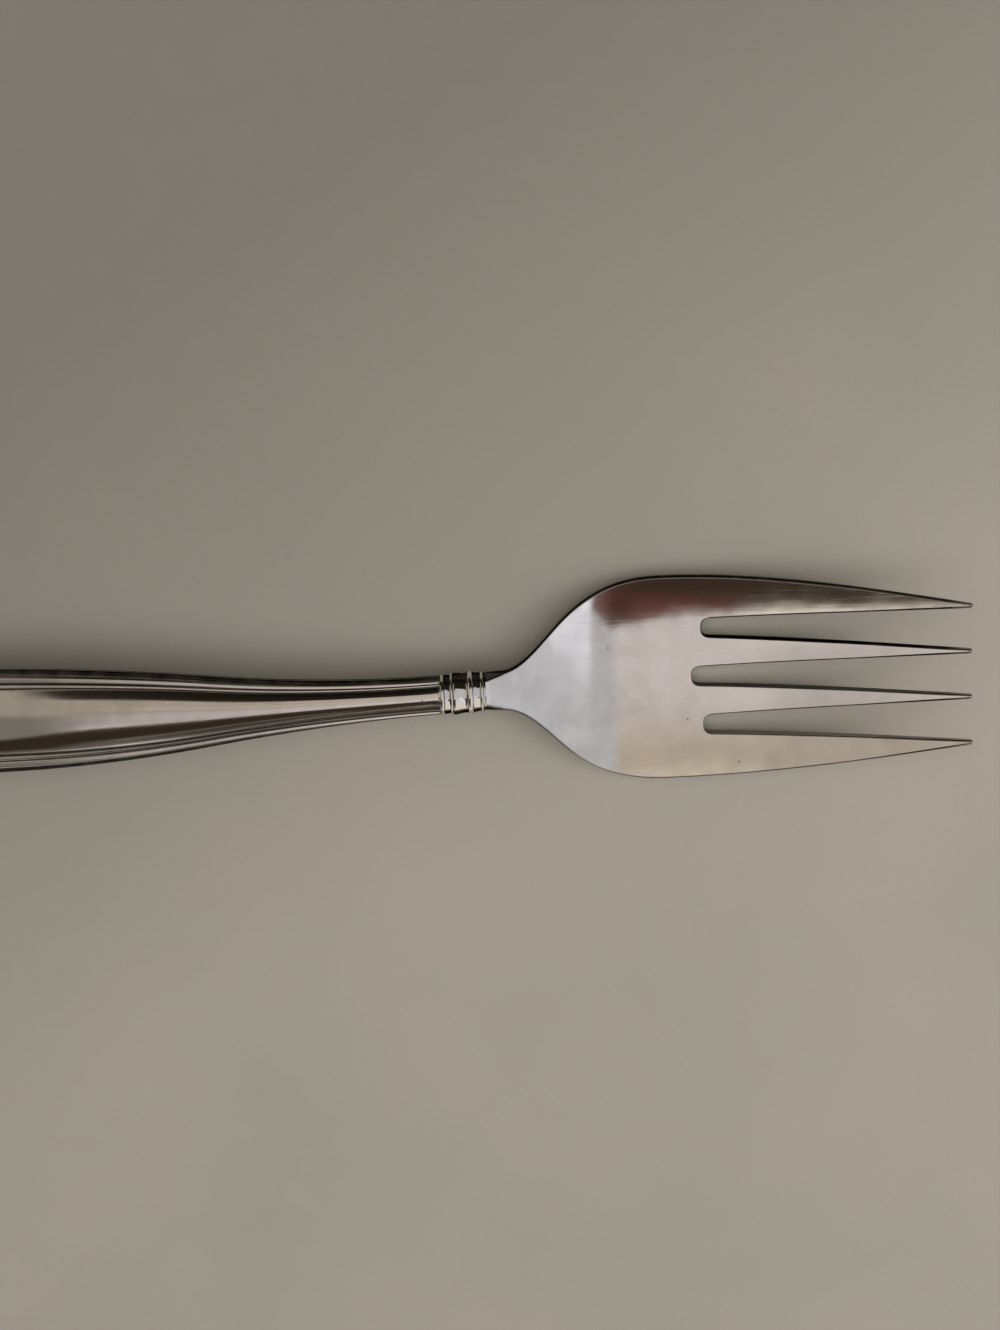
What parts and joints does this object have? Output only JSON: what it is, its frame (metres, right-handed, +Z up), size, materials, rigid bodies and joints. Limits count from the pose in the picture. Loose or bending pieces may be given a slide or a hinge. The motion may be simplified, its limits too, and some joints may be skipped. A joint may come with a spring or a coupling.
{
  "type": "cold meat fork",
  "caption": "Hollow-handle serving fork with a broad dished head of tapering tines, a ringed collar and a thread-edged handle, for lifting sliced cold meat.",
  "frame": {"origin": "On the table plane, under the middle of the fork's length and width as it lies face up.", "axes": "+X along the fork to the tine tips, +Y to the left when looking that way, +Z up out of the concave face."},
  "size_m": [0.216, 0.0364, 0.0138],
  "materials": {
    "polished_metal": "polished, with fine use scratches",
    "solder": "dressed flush and dull",
    "cement": "rough, hidden"
  },
  "bodies": {
    "root": {"fork_head": "polished_metal", "collar": "polished_metal", "handle_front_shell": "polished_metal", "handle_back_shell": "polished_metal", "seam_solder": "solder", "handle_filler": "cement"}
  },
  "joints": []
}
